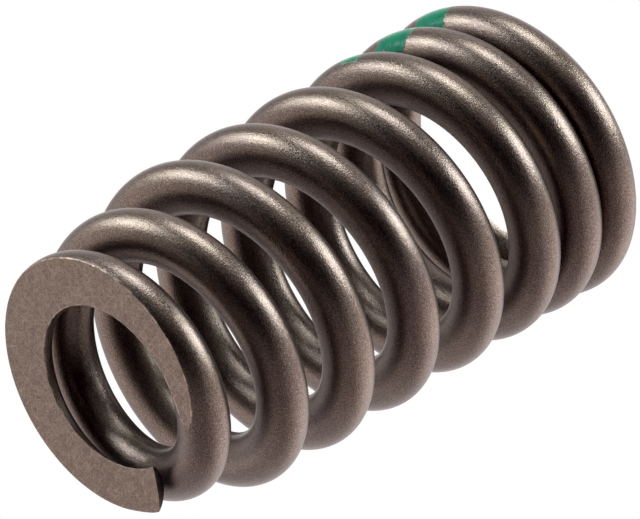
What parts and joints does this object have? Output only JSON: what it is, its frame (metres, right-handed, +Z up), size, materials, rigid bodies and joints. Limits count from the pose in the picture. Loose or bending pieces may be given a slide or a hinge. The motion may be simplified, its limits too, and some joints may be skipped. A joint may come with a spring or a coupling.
{
  "type": "beehive valve spring",
  "caption": "Beehive compression coil spring: oval wire, narrowed small end, wide base, both ends closed and ground flat.",
  "frame": {"origin": "centre of the ground face of the wide base, on the spring's axis", "axes": "+Z up the spring's axis from the wide base to the small end; +X towards the wire's tip on the small end"},
  "size_m": [0.0328, 0.0328, 0.0597],
  "materials": {
    "spring_steel": "oil-tempered and shot-peened spring wire, dark bronze-brown satin; the ground end faces are duller and finely scratched"
  },
  "bodies": {
    "seat_end": {"seat_end_coil_1": "spring_steel", "seat_end_coil_2": "spring_steel", "seat_end_coil_3": "spring_steel", "seat_end_coil_4": "spring_steel", "seat_end_coil_5": "spring_steel"},
    "coil_6_quarter_3": {"coil_6_quarter_3": "spring_steel"},
    "coil_6_quarter_2": {"coil_6_quarter_2": "spring_steel"},
    "coil_6_quarter_1": {"coil_6_quarter_1": "spring_steel"},
    "coil_5_quarter_4": {"coil_5_quarter_4": "spring_steel"},
    "coil_5_quarter_3": {"coil_5_quarter_3": "spring_steel"},
    "coil_5_quarter_2": {"coil_5_quarter_2": "spring_steel"},
    "coil_5_quarter_1": {"coil_5_quarter_1": "spring_steel"},
    "coil_4_quarter_4": {"coil_4_quarter_4": "spring_steel"},
    "coil_4_quarter_3": {"coil_4_quarter_3": "spring_steel"},
    "coil_4_quarter_2": {"coil_4_quarter_2": "spring_steel"},
    "coil_4_quarter_1": {"coil_4_quarter_1": "spring_steel"},
    "coil_3_quarter_4": {"coil_3_quarter_4": "spring_steel"},
    "coil_3_quarter_3": {"coil_3_quarter_3": "spring_steel"},
    "coil_3_quarter_2": {"coil_3_quarter_2": "spring_steel"},
    "coil_3_quarter_1": {"coil_3_quarter_1": "spring_steel"},
    "coil_2_quarter_4": {"coil_2_quarter_4": "spring_steel"},
    "coil_2_quarter_3": {"coil_2_quarter_3": "spring_steel"},
    "coil_2_quarter_2": {"coil_2_quarter_2": "spring_steel"},
    "coil_2_quarter_1": {"coil_2_quarter_1": "spring_steel"},
    "coil_1_quarter_4": {"coil_1_quarter_4": "spring_steel"},
    "coil_1_quarter_3": {"coil_1_quarter_3": "spring_steel"},
    "coil_1_quarter_2": {"coil_1_quarter_2": "spring_steel"},
    "coil_1_quarter_1": {"coil_1_quarter_1": "spring_steel"},
    "retainer_end": {"retainer_end_coil_5": "spring_steel", "retainer_end_coil_4": "spring_steel", "retainer_end_coil_3": "spring_steel", "retainer_end_coil_2": "spring_steel", "retainer_end_coil_1": "spring_steel"}
  },
  "joints": [
    {"name": "press_coil_6_quarter_3", "type": "slide", "parent": "seat_end", "child": "coil_6_quarter_3", "axis": [0, 0, -1], "range_m": [0, 0.000172], "stiffness_N_per_m": 6433000},
    {"name": "press_coil_6_quarter_2", "type": "slide", "parent": "coil_6_quarter_3", "child": "coil_6_quarter_2", "axis": [0, 0, -1], "range_m": [0, 0.00029], "stiffness_N_per_m": 3816000},
    {"name": "press_coil_6_quarter_1", "type": "slide", "parent": "coil_6_quarter_2", "child": "coil_6_quarter_1", "axis": [0, 0, -1], "range_m": [0, 0.000296], "stiffness_N_per_m": 3738000},
    {"name": "press_coil_5_quarter_4", "type": "slide", "parent": "coil_6_quarter_1", "child": "coil_5_quarter_4", "axis": [0, 0, -1], "range_m": [0, 0.000303], "stiffness_N_per_m": 3652000},
    {"name": "press_coil_5_quarter_3", "type": "slide", "parent": "coil_5_quarter_4", "child": "coil_5_quarter_3", "axis": [0, 0, -1], "range_m": [0, 0.00031], "stiffness_N_per_m": 3570000},
    {"name": "press_coil_5_quarter_2", "type": "slide", "parent": "coil_5_quarter_3", "child": "coil_5_quarter_2", "axis": [0, 0, -1], "range_m": [0, 0.000408], "stiffness_N_per_m": 2712000},
    {"name": "press_coil_5_quarter_1", "type": "slide", "parent": "coil_5_quarter_2", "child": "coil_5_quarter_1", "axis": [0, 0, -1], "range_m": [0, 0.000647], "stiffness_N_per_m": 1710000},
    {"name": "press_coil_4_quarter_4", "type": "slide", "parent": "coil_5_quarter_1", "child": "coil_4_quarter_4", "axis": [0, 0, -1], "range_m": [0, 0.000886], "stiffness_N_per_m": 1249000},
    {"name": "press_coil_4_quarter_3", "type": "slide", "parent": "coil_4_quarter_4", "child": "coil_4_quarter_3", "axis": [0, 0, -1], "range_m": [0, 0.00107], "stiffness_N_per_m": 1035000},
    {"name": "press_coil_4_quarter_2", "type": "slide", "parent": "coil_4_quarter_3", "child": "coil_4_quarter_2", "axis": [0, 0, -1], "range_m": [0, 0.0011], "stiffness_N_per_m": 1002000},
    {"name": "press_coil_4_quarter_1", "type": "slide", "parent": "coil_4_quarter_2", "child": "coil_4_quarter_1", "axis": [0, 0, -1], "range_m": [0, 0.00111], "stiffness_N_per_m": 999000},
    {"name": "press_coil_3_quarter_4", "type": "slide", "parent": "coil_4_quarter_1", "child": "coil_3_quarter_4", "axis": [0, 0, -1], "range_m": [0, 0.00111], "stiffness_N_per_m": 1000000},
    {"name": "press_coil_3_quarter_3", "type": "slide", "parent": "coil_3_quarter_4", "child": "coil_3_quarter_3", "axis": [0, 0, -1], "range_m": [0, 0.00111], "stiffness_N_per_m": 1001000},
    {"name": "press_coil_3_quarter_2", "type": "slide", "parent": "coil_3_quarter_3", "child": "coil_3_quarter_2", "axis": [0, 0, -1], "range_m": [0, 0.0011], "stiffness_N_per_m": 1003000},
    {"name": "press_coil_3_quarter_1", "type": "slide", "parent": "coil_3_quarter_2", "child": "coil_3_quarter_1", "axis": [0, 0, -1], "range_m": [0, 0.0011], "stiffness_N_per_m": 1009000},
    {"name": "press_coil_2_quarter_4", "type": "slide", "parent": "coil_3_quarter_1", "child": "coil_2_quarter_4", "axis": [0, 0, -1], "range_m": [0, 0.00107], "stiffness_N_per_m": 1033000},
    {"name": "press_coil_2_quarter_3", "type": "slide", "parent": "coil_2_quarter_4", "child": "coil_2_quarter_3", "axis": [0, 0, -1], "range_m": [0, 0.00104], "stiffness_N_per_m": 1064000},
    {"name": "press_coil_2_quarter_2", "type": "slide", "parent": "coil_2_quarter_3", "child": "coil_2_quarter_2", "axis": [0, 0, -1], "range_m": [0, 0.00101], "stiffness_N_per_m": 1097000},
    {"name": "press_coil_2_quarter_1", "type": "slide", "parent": "coil_2_quarter_2", "child": "coil_2_quarter_1", "axis": [0, 0, -1], "range_m": [0, 0.000978], "stiffness_N_per_m": 1131000},
    {"name": "press_coil_1_quarter_4", "type": "slide", "parent": "coil_2_quarter_1", "child": "coil_1_quarter_4", "axis": [0, 0, -1], "range_m": [0, 0.000947], "stiffness_N_per_m": 1168000},
    {"name": "press_coil_1_quarter_3", "type": "slide", "parent": "coil_1_quarter_4", "child": "coil_1_quarter_3", "axis": [0, 0, -1], "range_m": [0, 0.000955], "stiffness_N_per_m": 1159000},
    {"name": "press_coil_1_quarter_2", "type": "slide", "parent": "coil_1_quarter_3", "child": "coil_1_quarter_2", "axis": [0, 0, -1], "range_m": [0, 0.001], "stiffness_N_per_m": 1110000},
    {"name": "press_coil_1_quarter_1", "type": "slide", "parent": "coil_1_quarter_2", "child": "coil_1_quarter_1", "axis": [0, 0, -1], "range_m": [0, 0.00104], "stiffness_N_per_m": 1066000},
    {"name": "press_retainer_end", "type": "slide", "parent": "coil_1_quarter_1", "child": "retainer_end", "axis": [0, 0, -1], "range_m": [0, 0.00108], "stiffness_N_per_m": 1025000}
  ],
  "couplings": [
    {"joint": "press_coil_6_quarter_3", "follows": "press_retainer_end", "ratio": 0.1593},
    {"joint": "press_coil_6_quarter_2", "follows": "press_retainer_end", "ratio": 0.2685},
    {"joint": "press_coil_6_quarter_1", "follows": "press_retainer_end", "ratio": 0.2741},
    {"joint": "press_coil_5_quarter_4", "follows": "press_retainer_end", "ratio": 0.2806},
    {"joint": "press_coil_5_quarter_3", "follows": "press_retainer_end", "ratio": 0.287},
    {"joint": "press_coil_5_quarter_2", "follows": "press_retainer_end", "ratio": 0.3778},
    {"joint": "press_coil_5_quarter_1", "follows": "press_retainer_end", "ratio": 0.5991},
    {"joint": "press_coil_4_quarter_4", "follows": "press_retainer_end", "ratio": 0.8204},
    {"joint": "press_coil_4_quarter_3", "follows": "press_retainer_end", "ratio": 0.9898},
    {"joint": "press_coil_4_quarter_2", "follows": "press_retainer_end", "ratio": 1.0222},
    {"joint": "press_coil_4_quarter_1", "follows": "press_retainer_end", "ratio": 1.0259},
    {"joint": "press_coil_3_quarter_4", "follows": "press_retainer_end", "ratio": 1.0241},
    {"joint": "press_coil_3_quarter_3", "follows": "press_retainer_end", "ratio": 1.0231},
    {"joint": "press_coil_3_quarter_2", "follows": "press_retainer_end", "ratio": 1.0213},
    {"joint": "press_coil_3_quarter_1", "follows": "press_retainer_end", "ratio": 1.0157},
    {"joint": "press_coil_2_quarter_4", "follows": "press_retainer_end", "ratio": 0.9917},
    {"joint": "press_coil_2_quarter_3", "follows": "press_retainer_end", "ratio": 0.963},
    {"joint": "press_coil_2_quarter_2", "follows": "press_retainer_end", "ratio": 0.9343},
    {"joint": "press_coil_2_quarter_1", "follows": "press_retainer_end", "ratio": 0.9056},
    {"joint": "press_coil_1_quarter_4", "follows": "press_retainer_end", "ratio": 0.8769},
    {"joint": "press_coil_1_quarter_3", "follows": "press_retainer_end", "ratio": 0.8843},
    {"joint": "press_coil_1_quarter_2", "follows": "press_retainer_end", "ratio": 0.9231},
    {"joint": "press_coil_1_quarter_1", "follows": "press_retainer_end", "ratio": 0.9611}
  ]
}
